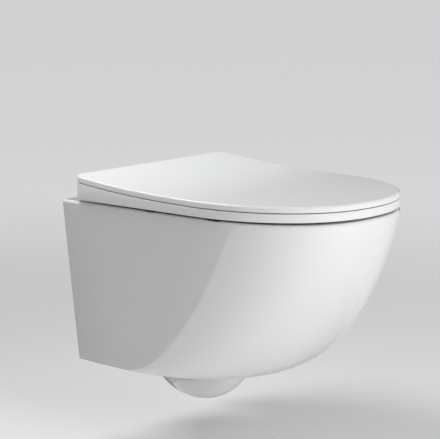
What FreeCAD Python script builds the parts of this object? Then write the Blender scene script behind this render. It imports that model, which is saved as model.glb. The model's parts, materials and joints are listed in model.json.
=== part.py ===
"""Wall hung toilet: glazed pan, slim seat and lid on quick-release hinges, and the wall fixings.

Millimetres. The origin lies on the wall plane, midway between the two wall bolts. +Z is up, the
wall is the plane Y = 0, and the pan reaches forward along -Y. X = 0 is the plane of symmetry.
"""

import FreeCAD, Part

import math
import os

from FreeCAD import Vector

# ---- interfaces to the wall ----
BOLT_SPACING = 180.0
BOLT_HOLE_R = 9.0
STUD_R = 6.0
STUD_CLEARANCE = 0.5
INLET_ABOVE_BOLTS = 35.0
INLET_SOCKET_R = 27.5
INLET_SOCKET_DEPTH = 38.0
FLUSH_PIPE_R = 22.5
OUTLET_BELOW_BOLTS = 100.0
SPIGOT_R = 51.0
SPIGOT_LENGTH = 24.0
SPIGOT_SETBACK = 2.0

# ---- pan, outside ----
RIM_ABOVE_BOLTS = 80.0
SKIRT_BELOW_BOLTS = 183.5
PAN_PROJECTION = 478.0
KEEL_LENGTH = 287.5
RIM_WIDTH = 352.0
RIM_WIDTH_AT_WALL = 351.0
SKIRT_WIDTH = 292.4
SKIRT_WIDTH_AT_WALL = 284.0
RIM_STRAIGHT = 240.0
SKIRT_STRAIGHT = 111.0
FLARE_LENGTH = 100.0
KEEL_POWER = 1.44
KEEL_ROUND = 1.76
RIM_FULLNESS = 2.5
SKIRT_FULLNESS = 2.23
RIM_EDGE_R = 5.0

# ---- pan, inside ----
WALL = 12.0
DECK_THICKNESS = 16.0
SKIRT_OPENING_MARGIN = 32.0
WEB_THICKNESS = 18.0
WEB_BELOW_BOLTS = 32.0
BOWL_WIDTH = 262.0
BOWL_FRONT_RIM = 47.0
BOWL_REAR_DECK = 97.0
BOWL_EDGE_R = 6.0
BOWL_FULLNESS = 2.3
SUMP_R = 33.0
SUMP_FROM_WALL = 205.0
SUMP_BELOW_BOLTS = 172.0
TRAP_BORE_R = 31.0
TRAP_WALL = 10.0
TRAP_BEND_R = 66.0
TRAP_CENTRE_FROM_WALL = 134.0
WEIR_BEND_R = 46.0
SPIGOT_BORE_R = 41.0
FLUSH_SLOT_WIDTH = 84.0
FLUSH_SLOT_HEIGHT = 16.0
FLUSH_SLOT_BELOW_RIM = 24.0

# ---- seat and lid ----
SEAT_WIDTH = 360.0
SEAT_LENGTH = 453.0
SEAT_WALL_GAP = 26.0
SEAT_STRAIGHT = 235.0
SEAT_FULLNESS = 2.25
SEAT_CORNER_R = 18.0
SEAT_GAP = 3.5
SEAT_EDGE = 13.5
SEAT_FOOT_R = 3.0
SEAT_TOP_CHAMFER = 1.0
SEAT_HOLE_CHAMFER = 3.0
LID_GAP = 1.5
LID_THICKNESS = 9.0
REAR_RISE = 15.0
RISE_LENGTH = 300.0
RISE_POWER = 2.6
HOLE_WIDTH = 226.0
HOLE_REAR_BAND = 110.0
HOLE_FRONT_BAND = 62.0
HOLE_FULLNESS = 2.15
LID_EDGE_R = 3.0

# ---- hinges ----
HINGE_SPACING = 155.0
HINGE_ABOVE_DECK = 19.0
HINGE_FROM_SEAT_REAR = 12.0
POST_AHEAD_OF_HINGE = 15.0
POST_R = 6.5
POST_TOP_BELOW_BLOCK = 3.6
BASE_R = 16.0
BASE_THICKNESS = 3.7
GASKET_THICKNESS = 0.8
BLOCK_WIDTH = 32.8
BLOCK_AHEAD_OF_HINGE = 31.0
BLOCK_TOP_ABOVE_HINGE = 8.0
BARREL_R = 11.5
KNUCKLE_R = 11.0
KNUCKLE_WIDTH = 15.5
SEAT_BEARING = 18.0
DAMPER_R = 7.5
DAMPER_LENGTH = 20.0
SHAFT_R = 4.0
BUSH_R = 6.0
ROTOR_R = 5.6
DECK_HOLE_R = 7.0
DOWEL_LENGTH = 30.0
SCREW_R = 3.0
SCREW_HEAD_R = 5.4
SCREW_HEAD = 3.0
CONE_HEIGHT = 8.0
BUTTON_WIDTH = 14.0
BUTTON_HEIGHT = 8.0
BUTTON_HEAD = 2.0
BUTTON_TRAVEL = 2.0
CLIP_WIRE_R = 0.8
GROOVE_DEPTH = 0.9
CLIP_ABOVE_BASE = 8.0

# ---- buffers ----
SEAT_BUFFER_LENGTH = 24.0
SEAT_BUFFER_WIDTH = 9.0
SEAT_BUFFER_REAR = 183.0
SEAT_BUFFER_FRONT = 306.0
SEAT_BUFFER_INSET = 11.0
LID_BUFFER_R = 5.0
LID_BUFFER_REAR = 180.0
LID_BUFFER_FRONT = 392.0
LID_BUFFER_INSET = 33.0
BUFFER_RECESS = 1.2

# ---- wall fixings ----
SLEEVE_FLANGE_R = 15.0
SLEEVE_FLANGE = 2.0
WASHER_R = 14.0
WASHER_THICKNESS = 2.5
NUT_ACROSS_FLATS = 19.0
NUT_HEIGHT = 10.0
NUT_BORE_R = 6.25

# ---- fits ----
SEATED = 0.2
RUNNING = 0.06
PRESSED = 0.02
SIDE_PLAY = 0.4

# ---- places worked out from the sizes above ----
RIM_Z = RIM_ABOVE_BOLTS
SKIRT_Z = -SKIRT_BELOW_BOLTS
SKIRT_HEIGHT = RIM_Z - SKIRT_Z
SEAT_REAR_Y = -SEAT_WALL_GAP
SEAT_TIP_Y = SEAT_REAR_Y - SEAT_LENGTH
SEAT_Z = RIM_Z + SEAT_GAP
HINGE_Y = SEAT_REAR_Y - HINGE_FROM_SEAT_REAR
HINGE_Z = RIM_Z + HINGE_ABOVE_DECK
POST_Y = HINGE_Y - POST_AHEAD_OF_HINGE
HINGE_X = HINGE_SPACING / 2
BLOCK_IN = HINGE_X - BLOCK_WIDTH / 2
BLOCK_OUT = HINGE_X + BLOCK_WIDTH / 2
KNUCKLE_OUT = BLOCK_IN - SIDE_PLAY
KNUCKLE_IN = KNUCKLE_OUT - KNUCKLE_WIDTH
BASE_Z = RIM_Z + GASKET_THICKNESS + BASE_THICKNESS
BLOCK_Z = BASE_Z + SEATED
BLOCK_TOP_Z = HINGE_Z + BLOCK_TOP_ABOVE_HINGE
BLOCK_FRONT_Y = HINGE_Y - BLOCK_AHEAD_OF_HINGE
POST_TOP_Z = BLOCK_TOP_Z - POST_TOP_BELOW_BLOCK
CLIP_Z = BASE_Z + CLIP_ABOVE_BASE
OUTLET_Z = -OUTLET_BELOW_BOLTS
TRAP_Y = -TRAP_CENTRE_FROM_WALL
TRAP_Z = OUTLET_Z - WEIR_BEND_R
SPIGOT_END_Y = -SPIGOT_SETBACK
SPIGOT_START_Y = SPIGOT_END_Y - SPIGOT_LENGTH
SLEEVE_BORE_R = STUD_R + STUD_CLEARANCE

SIDES = {"left": -1, "right": 1}


# ---- small helpers ----
def box(x0, x1, y0, y1, z0, z1):
    size = (abs(x1 - x0), abs(y1 - y0), abs(z1 - z0))
    return Part.makeBox(*size, Vector(min(x0, x1), min(y0, y1), min(z0, z1)))


def rod(radius, start, end):
    along = end - start
    return Part.makeCylinder(radius, along.Length, start, along)


def upright(radius, x, y, z0, z1):
    return rod(radius, Vector(x, y, z0), Vector(x, y, z1))


def crosswise(radius, x0, x1, y=HINGE_Y, z=HINGE_Z):
    return rod(radius, Vector(x0, y, z), Vector(x1, y, z))


def spline(points):
    curve = Part.BSplineCurve()
    curve.interpolate(points)
    return curve.toShape()


def mirrored(shape):
    return shape.mirror(Vector(0, 0, 0), Vector(1, 0, 0))


def on_side(shape, side):
    """Right-hand shapes are drawn at +X. The left-hand ones mirror them."""
    return shape if side > 0 else mirrored(shape)


def both_sides(shape):
    return [shape, mirrored(shape)]


def quarter(half_width, length, fullness, count):
    """Points of a quarter superellipse, from its widest point to its tip, as (x, forward)."""
    points = []
    for step in range(count + 1):
        forward = math.sin(step / count * math.pi / 2)
        across = max(0.0, 1.0 - forward**fullness) ** (1.0 / fullness)
        points.append((half_width * across, length * forward))
    return points


def oval(half_width, rear_y, front_y, fullness, z):
    """A closed superellipse wire, level at height z."""
    centre_y = (rear_y + front_y) / 2
    half_length = (rear_y - front_y) / 2
    arc = quarter(half_width, half_length, fullness, 8)
    front = [Vector(x, centre_y - f, z) for x, f in arc]
    back = [Vector(x, centre_y + f, z) for x, f in arc]
    right = back[:0:-1] + front
    left = [Vector(-p.x, p.y, z) for p in right[-2:0:-1]]
    curve = Part.BSplineCurve()
    curve.interpolate(right + left, PeriodicFlag=True)
    return Part.Wire(curve.toShape())


# ---- pan ----
def keel_share(level):
    """How far the front has grown from the keel (0) to the rim (1) at a share of the height."""
    return (1.0 - (1.0 - level) ** KEEL_POWER) ** (1.0 / KEEL_ROUND)


def hull_section(level, z, inset=0.0, rear_y=0.0, front_inset=None):
    """One level outline of the pan: two flaring sides, a full round front and a flat back."""
    share = keel_share(level)
    front_inset = inset if front_inset is None else front_inset
    at_wall = SKIRT_WIDTH_AT_WALL + (RIM_WIDTH_AT_WALL - SKIRT_WIDTH_AT_WALL) * level
    at_middle = SKIRT_WIDTH + (RIM_WIDTH - SKIRT_WIDTH) * math.sqrt(level)
    tip = KEEL_LENGTH + (PAN_PROJECTION - KEEL_LENGTH) * share
    straight = SKIRT_STRAIGHT + (RIM_STRAIGHT - SKIRT_STRAIGHT) * share
    fullness = SKIRT_FULLNESS + (RIM_FULLNESS - SKIRT_FULLNESS) * level
    side = [Vector(at_wall / 2 - inset, rear_y, z)]
    for share_out in (0.35, 0.7):
        flare = share_out * (2.0 - share_out)
        width = at_wall + (at_middle - at_wall) * flare
        side.append(Vector(width / 2 - inset, -FLARE_LENGTH * share_out, z))
    reach = tip - front_inset - straight
    for x, forward in quarter(at_middle / 2 - inset, reach, fullness, 9):
        side.append(Vector(x, -straight - forward, z))
    other = [Vector(-p.x, p.y, z) for p in side[-2::-1]]
    return Part.Wire([spline(side + other), Part.LineSegment(other[-1], side[0]).toShape()])


def hull():
    levels = [0.0, 0.004, 0.02, 0.06, 0.13, 0.23, 0.36, 0.52, 0.7, 0.86, 1.0]
    wires = [hull_section(v, SKIRT_Z + SKIRT_HEIGHT * v, rear_y=2.0) for v in levels]
    body = Part.makeLoft(wires, True, False)
    rim_edges = edges_on_level(body, RIM_Z, -PAN_PROJECTION - 1, 3)
    body = body.makeFillet(RIM_EDGE_R, [e for e in rim_edges if e.BoundBox.YLength > 1])
    return body.cut(box(-RIM_WIDTH, RIM_WIDTH, 0, 5, SKIRT_Z - 1, RIM_Z + 1))


def skirt_cavity():
    """The hollow under the deck, open to the wall and, behind the keel, to the floor."""
    levels = [0.0, 0.03, 0.09, 0.2, 0.36, 0.55, 0.76, 0.9]
    floor_z = SKIRT_Z + WALL
    span = RIM_Z - DECK_THICKNESS - floor_z
    wires = []
    for v in levels:
        z = floor_z + span * v / levels[-1]
        wires.append(hull_section(v, z, inset=WALL, rear_y=WALL))
    cavity = Part.makeLoft(wires, True, False)
    margin = SKIRT_OPENING_MARGIN
    mouth = hull_section(0.0, SKIRT_Z - WALL, inset=WALL, rear_y=WALL, front_inset=margin)
    cavity = cavity.fuse(Part.Face(mouth).extrude(Vector(0, 0, 2 * WALL + 1)))
    web = box(-RIM_WIDTH, RIM_WIDTH, -WEB_THICKNESS, 2 * WALL, -WEB_BELOW_BOLTS, RIM_Z)
    return cavity.cut(web)


def bowl(grow=0.0):
    """The basin: steep under the rim, then drawn in and back to its sump over the trap."""
    half = BOWL_WIDTH / 2
    rear = -BOWL_REAR_DECK
    front = -(PAN_PROJECTION - BOWL_FRONT_RIM)
    sump_y = -SUMP_FROM_WALL
    depth = RIM_Z + SUMP_BELOW_BOLTS
    top_z = RIM_Z + 1.0 - grow
    wires = [oval(half + grow, rear + grow, front - grow, BOWL_FULLNESS, top_z)]
    shape = [(0.14, 0.01), (0.3, 0.07), (0.47, 0.2), (0.64, 0.43), (0.8, 0.72), (0.92, 0.91), (1.0, 1.0)]
    for down, drawn_in in shape:
        half_here = half + (SUMP_R - half) * drawn_in + grow
        rear_here = rear + (sump_y + SUMP_R - rear) * drawn_in + grow
        front_here = front + (sump_y - SUMP_R - front) * drawn_in - grow
        fullness = BOWL_FULLNESS + (2.0 - BOWL_FULLNESS) * drawn_in
        wires.append(oval(half_here, rear_here, front_here, fullness, RIM_Z - depth * down - grow))
    return Part.makeLoft(wires, True, False)


def trap_pipe(radius):
    """Down round the U from the sump, then up and over the weir, level with the outlet."""

    def on_bend(y, z, bend_r, degrees):
        angle = math.radians(degrees)
        return Vector(0, y + bend_r * math.cos(angle), z + bend_r * math.sin(angle))

    weir_y = TRAP_Y + TRAP_BEND_R + WEIR_BEND_R
    start = on_bend(TRAP_Y, TRAP_Z, TRAP_BEND_R, 180)
    low = on_bend(TRAP_Y, TRAP_Z, TRAP_BEND_R, 270)
    rising = on_bend(TRAP_Y, TRAP_Z, TRAP_BEND_R, 360)
    over = on_bend(weir_y, TRAP_Z, WEIR_BEND_R, 135)
    crown = on_bend(weir_y, TRAP_Z, WEIR_BEND_R, 90)
    path = Part.Wire([Part.Arc(start, low, rising).toShape(), Part.Arc(rising, over, crown).toShape()])
    mouth = Part.Wire(Part.Circle(start, Vector(0, 0, -1), radius).toShape())
    return path.makePipeShell([mouth], True, False)


def along_wall(radius, x, z, y0, y1):
    return rod(radius, Vector(x, y0, z), Vector(x, y1, z))


def cone_to_wall(r0, r1, z, y0, y1):
    return Part.makeCone(r0, r1, y1 - y0, Vector(0, y0, z), Vector(0, 1, 0))


def spigot():
    neck_r = TRAP_BORE_R + TRAP_WALL
    neck = cone_to_wall(neck_r, SPIGOT_R, OUTLET_Z, SPIGOT_START_Y - SPIGOT_R + neck_r, SPIGOT_START_Y)
    return neck.fuse(along_wall(SPIGOT_R, 0, OUTLET_Z, SPIGOT_START_Y, SPIGOT_END_Y))


def spigot_bore():
    crown_y = TRAP_Y + TRAP_BEND_R + WEIR_BEND_R
    mouth = cone_to_wall(TRAP_BORE_R, SPIGOT_BORE_R, OUTLET_Z, crown_y, SPIGOT_END_Y)
    return mouth.fuse(along_wall(SPIGOT_BORE_R, 0, OUTLET_Z, SPIGOT_END_Y, 1.0))


def flush_channel(grow=0.0):
    """From the inlet socket the flush water widens to a slot under the rear rim."""
    slot_z = RIM_Z - FLUSH_SLOT_BELOW_RIM
    start_y = -INLET_SOCKET_DEPTH
    end_y = -BOWL_REAR_DECK - (WALL if not grow else 0.0)
    round_end = Part.Wire(
        Part.Circle(Vector(0, start_y, INLET_ABOVE_BOLTS), Vector(0, -1, 0), FLUSH_PIPE_R + grow).toShape()
    )
    half_width = FLUSH_SLOT_WIDTH / 2 + grow
    half_height = FLUSH_SLOT_HEIGHT / 2 + grow
    slot_end = slot_wire(half_width, half_height, end_y, slot_z)
    return Part.makeLoft([round_end, slot_end], True, True)


def slot_wire(half_width, half_height, y, z):
    """An upright oblong with round ends, facing along Y."""
    points = []
    for step in range(24):
        angle = -2 * math.pi * step / 24
        across = math.copysign(abs(math.cos(angle)) ** 0.6, math.cos(angle)) * half_width
        up = math.copysign(abs(math.sin(angle)) ** 0.6, math.sin(angle)) * half_height
        points.append(Vector(across, y, z + up))
    curve = Part.BSplineCurve()
    curve.interpolate(points, PeriodicFlag=True)
    return Part.Wire(curve.toShape())


def edges_on_level(shape, z, front_y, rear_y):
    """The shape's level edges at height z that lie between two distances from the wall."""
    chosen = []
    for edge in shape.Edges:
        box_of = edge.BoundBox
        level = abs(box_of.ZMin - z) < 0.01 and abs(box_of.ZMax - z) < 0.01
        if level and box_of.YMin > front_y and box_of.YMax < rear_y + 0.01:
            chosen.append(edge)
    return chosen


def passages():
    """Every way through the ceramic: for water, for the wall bolts and for the hinge dowels."""
    ways = [
        bowl(),
        trap_pipe(TRAP_BORE_R),
        spigot_bore(),
        along_wall(INLET_SOCKET_R, 0, INLET_ABOVE_BOLTS, -INLET_SOCKET_DEPTH, 1),
        flush_channel(),
    ]
    for side in SIDES.values():
        ways.append(along_wall(BOLT_HOLE_R, side * BOLT_SPACING / 2, 0, -WEB_THICKNESS - 1, 1))
        ways.append(upright(DECK_HOLE_R, side * HINGE_X, POST_Y, RIM_Z - DECK_THICKNESS - 1, RIM_Z + 1))
    return ways


def without(body, tools):
    for tool in tools:
        body = body.cut(tool)
    return body


def shell():
    """The outer shell: sides, rim, rear deck and the web at the wall, with every way through cut."""
    body = without(hull(), [skirt_cavity()] + passages())
    bowl_edges = edges_on_level(body, RIM_Z, BOWL_FRONT_RIM / 2 - PAN_PROJECTION, -BOWL_REAR_DECK + 1)
    return body.makeFillet(BOWL_EDGE_R, [e for e in bowl_edges if e.BoundBox.XLength > BOWL_WIDTH / 2])


def shell_pieces():
    """The shell as four plain solids that touch: web, rear deck, rim and skirt."""
    body = shell()
    wide = RIM_WIDTH
    deck_z = RIM_Z - DECK_THICKNESS
    deck_y = BOWL_EDGE_R + 1 - BOWL_REAR_DECK
    at_wall = box(-wide, wide, -WEB_THICKNESS, 1, -WEB_BELOW_BOLTS, RIM_Z + 1)
    at_hinges = box(-wide, wide, deck_y, -WEB_THICKNESS, deck_z, RIM_Z + 1)
    round_bowl = box(-wide, wide, -PAN_PROJECTION - 1, deck_y, deck_z, RIM_Z + 1)
    skirt = without(body, [at_wall, at_hinges, round_bowl])
    return body.common(at_wall), body.common(at_hinges), body.common(round_bowl), skirt


def waterways():
    """Basin, trapway and flush duct, each cut back to what is already there, so that they touch."""
    ways = passages()
    outer = hull().cut(skirt_cavity())
    basin = without(bowl(WALL), [outer] + ways)
    trap_outside = trap_pipe(TRAP_BORE_R + TRAP_WALL).fuse(spigot())
    trapway = without(trap_outside, [outer, bowl(WALL)] + ways)
    socket_shell_r = INLET_SOCKET_R + WALL
    socket = along_wall(socket_shell_r, 0, INLET_ABOVE_BOLTS, -INLET_SOCKET_DEPTH - WALL / 2, 0)
    duct = without(socket.fuse(flush_channel(WALL)), [outer, bowl(WALL), trap_outside] + ways)
    return basin, trapway, duct


# ---- seat and lid ----
def rise(y):
    """How much the lid's line has risen towards the wall, at a place along the seat."""
    left = 1.0 - (SEAT_REAR_Y - y) / RISE_LENGTH
    return REAR_RISE * max(0.0, left) ** RISE_POWER


def seat_plan(z0, z1):
    """The plan outline shared by seat and lid, as an upright prism."""
    half = SEAT_WIDTH / 2
    straight_y = SEAT_REAR_Y - SEAT_STRAIGHT
    corner_y = SEAT_REAR_Y - SEAT_CORNER_R
    corner_x = half - SEAT_CORNER_R
    diagonal = SEAT_CORNER_R * math.sqrt(0.5)
    edges = []
    for side in (1, -1):
        start = Vector(side * corner_x, SEAT_REAR_Y, z0)
        middle = Vector(side * (corner_x + diagonal), corner_y + diagonal, z0)
        end = Vector(side * half, corner_y, z0)
        edges.append(Part.Arc(start, middle, end).toShape())
        edges.append(Part.LineSegment(end, Vector(side * half, straight_y, z0)).toShape())
    arc = quarter(half, SEAT_LENGTH - SEAT_STRAIGHT, SEAT_FULLNESS, 9)
    right = [Vector(x, straight_y - f, z0) for x, f in arc]
    left = [Vector(-p.x, p.y, z0) for p in right[-2::-1]]
    front = Part.BSplineCurve()
    front.interpolate(right + left, InitialTangent=Vector(0, -1, 0), FinalTangent=Vector(0, 1, 0))
    edges.append(front.toShape())
    rear_left = Vector(-corner_x, SEAT_REAR_Y, z0)
    edges.append(Part.LineSegment(rear_left, Vector(corner_x, SEAT_REAR_Y, z0)).toShape())
    outline = Part.Wire(Part.__sortEdges__(edges))
    return Part.Face(outline).extrude(Vector(0, 0, z1 - z0))


def risen_line(height, half_width):
    """A line along the seat, at a height above the seat's underside plus the rise."""
    front_y = SEAT_TIP_Y - 5
    flat_y = SEAT_REAR_Y - RISE_LENGTH
    points = []
    steps = 10
    for step in range(steps + 1):
        y = flat_y + (SEAT_REAR_Y + 5 - flat_y) * step / steps
        points.append(Vector(-half_width, y, SEAT_Z + height + rise(y)))
    curve = Part.BSplineCurve()
    curve.interpolate(points)
    flat = Part.LineSegment(Vector(-half_width, front_y, points[0].z), points[0])
    return [flat.toShape(), curve.toShape()], Vector(-half_width, front_y, points[0].z), points[-1]


def layer(plan, low, high):
    """A seat plan cut to the space between two risen lines."""
    half = SEAT_WIDTH
    top_edges, top_front, top_rear = risen_line(high, half)
    bottom_edges, bottom_front, bottom_rear = risen_line(low, half)
    edges = top_edges + bottom_edges
    edges.append(Part.LineSegment(bottom_front, top_front).toShape())
    edges.append(Part.LineSegment(bottom_rear, top_rear).toShape())
    profile = Part.Wire(Part.__sortEdges__(edges))
    return plan.common(Part.Face(profile).extrude(Vector(2 * half, 0, 0)))


def hinge_notch():
    """Room in the seat's rear for a lid knuckle, a hinge block and its base, on one side."""
    inside = KNUCKLE_IN - SIDE_PLAY
    outside = BLOCK_OUT + SIDE_PLAY
    return box(inside, outside, SEAT_REAR_Y + 10, BLOCK_FRONT_Y - 4, SEAT_Z - 10, SEAT_Z + 60)


def outline_edges(shape, height):
    """The edges of a layer that run round its outline at a height above the seat's underside.

    The edge where the flat and the risen surfaces meet crosses the layer, so it is left out.
    """
    chosen = []
    seam_y = SEAT_REAR_Y - RISE_LENGTH
    for edge in shape.Edges:
        middle = edge.valueAt((edge.FirstParameter + edge.LastParameter) / 2)
        off_line = abs(middle.z - SEAT_Z - height - rise(middle.y))
        if off_line < 0.05 and abs(middle.y - seam_y) > 0.5:
            chosen.append(edge)
    return chosen


def seat_rear():
    """All that the seat's rear has to lose to turn between the deck and the opened lid."""
    wide = SEAT_WIDTH
    behind = box(-wide, wide, HINGE_Y, SEAT_REAR_Y + 10, SEAT_Z - 10, SEAT_Z + 60)
    under = box(-wide, wide, HINGE_Y, SEAT_REAR_Y, SEAT_Z - 10, HINGE_Z)
    deck_swing = crosswise(HINGE_ABOVE_DECK - LID_GAP, -wide, wide)
    lid_swing = crosswise(HINGE_FROM_SEAT_REAR, -wide, wide)
    return behind.cut(under.common(deck_swing)).cut(lid_swing)


def seat_ring():
    plan = seat_plan(SEAT_Z, SEAT_Z + 60)
    plan = plan.makeFillet(SEAT_FOOT_R, edges_on_level(plan, SEAT_Z, SEAT_TIP_Y - 1, 0))
    ring = layer(plan, -SEAT_EDGE - REAR_RISE, SEAT_EDGE)
    ring = ring.makeChamfer(SEAT_TOP_CHAMFER, outline_edges(ring, SEAT_EDGE))
    rear = SEAT_REAR_Y - HOLE_REAR_BAND
    front = SEAT_TIP_Y + HOLE_FRONT_BAND
    hole = Part.Face(oval(HOLE_WIDTH / 2, rear, front, HOLE_FULLNESS, SEAT_Z - 10))
    ring = ring.cut(hole.extrude(Vector(0, 0, 60)))
    near_hole = [e for e in outline_edges(ring, SEAT_EDGE) if abs(e.BoundBox.XMax) < HOLE_WIDTH / 2 + 1]
    mouth = [e for e in near_hole if front - 1 < e.BoundBox.YMin and e.BoundBox.YMax < rear + 1]
    ring = ring.makeChamfer(SEAT_HOLE_CHAMFER, mouth)
    ring = ring.cut(seat_rear())
    bearing = crosswise(BUSH_R + PRESSED, BLOCK_OUT - 1, BLOCK_OUT + SIDE_PLAY + SEAT_BEARING)
    cuts = both_sides(hinge_notch()) + both_sides(bearing) + seat_buffer_shapes(0.0)
    for piece in cuts:
        ring = ring.cut(piece)
    return ring


def lid():
    low = SEAT_EDGE + LID_GAP
    plate = layer(seat_plan(SEAT_Z, SEAT_Z + 60), low, low + LID_THICKNESS)
    plate = plate.makeFillet(LID_EDGE_R, outline_edges(plate, low + LID_THICKNESS))
    for knuckle in both_sides(lid_knuckle()):
        plate = plate.fuse(knuckle)
    bores = both_sides(crosswise(BUSH_R + PRESSED, KNUCKLE_IN - 1, KNUCKLE_OUT + 1))
    for piece in bores + lid_buffer_shapes():
        plate = plate.cut(piece)
    return plate


def lid_knuckle():
    """The lid's lug round the hinge line, on one side."""
    barrel = crosswise(KNUCKLE_R, KNUCKLE_IN, KNUCKLE_OUT)
    neck_top = SEAT_Z + SEAT_EDGE + LID_GAP + rise(HINGE_Y) + LID_THICKNESS / 2
    neck = box(KNUCKLE_IN, KNUCKLE_OUT, HINGE_Y - KNUCKLE_R, HINGE_Y + KNUCKLE_R, HINGE_Z, neck_top)
    return barrel.fuse(neck)


def seat_buffer_shapes(foot):
    """Oblong pads let into the seat's underside. foot is the gap left over the rim."""
    radius = SEAT_BUFFER_WIDTH / 2
    half = SEAT_BUFFER_LENGTH / 2 - radius
    low = RIM_Z + foot
    high = SEAT_Z + BUFFER_RECESS
    shapes = []
    for forward in (SEAT_BUFFER_REAR, SEAT_BUFFER_FRONT):
        x = SEAT_WIDTH / 2 - SEAT_BUFFER_INSET - curve_in(forward)
        pad = box(x - radius, x + radius, -forward - half, -forward + half, low, high)
        pad = pad.fuse(upright(radius, x, -forward - half, low, high))
        pad = pad.fuse(upright(radius, x, -forward + half, low, high))
        shapes += both_sides(pad.removeSplitter())
    return shapes


def curve_in(forward):
    """How far the seat's edge has curved in from its full half width, at a distance from the wall."""
    past = max(0.0, forward - SEAT_WALL_GAP - SEAT_STRAIGHT) / (SEAT_LENGTH - SEAT_STRAIGHT)
    return SEAT_WIDTH / 2 * (1.0 - (1.0 - past**SEAT_FULLNESS) ** (1.0 / SEAT_FULLNESS))


def lid_buffer_shapes():
    """Round buttons let into the lid's underside, just clear of the seat."""
    shapes = []
    for forward in (LID_BUFFER_REAR, LID_BUFFER_FRONT):
        x = SEAT_WIDTH / 2 - LID_BUFFER_INSET - curve_in(forward)
        top_of_seat = SEAT_Z + SEAT_EDGE + rise(-forward + LID_BUFFER_R)
        low = top_of_seat + SEATED
        high = SEAT_Z + SEAT_EDGE + LID_GAP + rise(-forward) + BUFFER_RECESS
        shapes += both_sides(upright(LID_BUFFER_R, x, -forward, low, high))
    return shapes


# ---- hinges ----
def hinge_post():
    """Base plate and post in one piece, bored for its screw and grooved for the clip."""
    base = upright(BASE_R, HINGE_X, POST_Y, RIM_Z + GASKET_THICKNESS, BASE_Z)
    post = upright(POST_R, HINGE_X, POST_Y, BASE_Z, POST_TOP_Z)
    post = base.makeChamfer(0.8, edges_on_level(base, BASE_Z, -PAN_PROJECTION, 0)).fuse(post)
    groove = upright(POST_R + 1, HINGE_X, POST_Y, CLIP_Z - CLIP_WIRE_R - 0.2, CLIP_Z + CLIP_WIRE_R + 0.2)
    core = upright(POST_R - GROOVE_DEPTH, HINGE_X, POST_Y, CLIP_Z - 3, CLIP_Z + 3)
    post = post.cut(groove.cut(core))
    bore = upright(SCREW_R + 0.25, HINGE_X, POST_Y, RIM_Z - 1, POST_TOP_Z + 1)
    sink = screw_head(0.1)
    return post.cut(bore).cut(sink)


def screw_head(grow=0.0):
    return Part.makeCone(
        SCREW_R + grow, SCREW_HEAD_R + grow, SCREW_HEAD, Vector(HINGE_X, POST_Y, POST_TOP_Z - SCREW_HEAD)
    )


def hinge_screw():
    tip_z = RIM_Z - DOWEL_LENGTH - CONE_HEIGHT - 3
    shank = upright(SCREW_R, HINGE_X, POST_Y, tip_z, POST_TOP_Z - SCREW_HEAD)
    screw = shank.fuse(screw_head())
    hexagon = Part.Face(Part.makePolygon(ring_points(2.0, 6))).extrude(Vector(0, 0, 3))
    hexagon.translate(Vector(HINGE_X, POST_Y, POST_TOP_Z - 2))
    return screw.cut(hexagon)


def ring_points(radius, count, turn=0.0):
    points = []
    for step in range(count + 1):
        angle = turn + 2 * math.pi * step / count
        points.append(Vector(radius * math.cos(angle), radius * math.sin(angle), 0))
    return points


def hinge_gasket():
    disc = upright(BASE_R - 0.5, HINGE_X, POST_Y, RIM_Z, RIM_Z + GASKET_THICKNESS)
    return disc.cut(upright(SCREW_R + 0.5, HINGE_X, POST_Y, RIM_Z - 1, RIM_Z + GASKET_THICKNESS + 1))


def hinge_dowel():
    """A rubber sleeve in the deck hole, swollen below the deck where the nut has drawn it up."""
    bottom = RIM_Z - DOWEL_LENGTH
    sleeve = upright(DECK_HOLE_R - SEATED, HINGE_X, POST_Y, bottom, RIM_Z - SEATED)
    bulge_top = RIM_Z - DECK_THICKNESS - SEATED
    bulge = upright(DECK_HOLE_R + 2.5, HINGE_X, POST_Y, bottom + 2, bulge_top)
    bulge = bulge.makeFillet(2.0, [e for e in bulge.Edges if e.BoundBox.ZLength < 0.01])
    bore = upright(SCREW_R + 0.1, HINGE_X, POST_Y, bottom - 1, RIM_Z + 1)
    return sleeve.fuse(bulge).cut(bore)


def hinge_nut():
    top = RIM_Z - DOWEL_LENGTH
    nut = upright(DECK_HOLE_R - 0.6, HINGE_X, POST_Y, top - CONE_HEIGHT, top)
    return nut.cut(upright(SCREW_R + PRESSED, HINGE_X, POST_Y, top - CONE_HEIGHT - 1, top + 1))


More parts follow.
